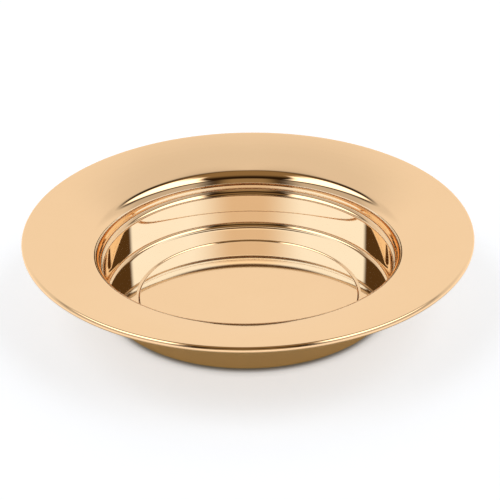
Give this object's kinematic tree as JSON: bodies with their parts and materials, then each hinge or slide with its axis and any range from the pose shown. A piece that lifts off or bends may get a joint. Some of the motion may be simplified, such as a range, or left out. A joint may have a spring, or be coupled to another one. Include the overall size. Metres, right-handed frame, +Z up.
{
  "type": "paten plate",
  "caption": "Wide-brimmed communion bread plate with a deep stepped well, turned from polished gold-tone sheet metal, with a rolled edge",
  "frame": {"origin": "On the surface the plate stands on, under the middle of the plate", "axes": "+Z up along the axis the plate is turned about; X and Y are any two level directions, since the plate is the same all round"},
  "size_m": [0.254, 0.254, 0.0429],
  "materials": {
    "brim_gold": "polished",
    "edge_wire_steel": "drawn",
    "well_gold": "polished",
    "floor_gold": "polished"
  },
  "bodies": {
    "root": {"brim": "brim_gold", "edge_wire": "edge_wire_steel", "well": "well_gold", "floor_plate": "floor_gold"}
  },
  "joints": []
}
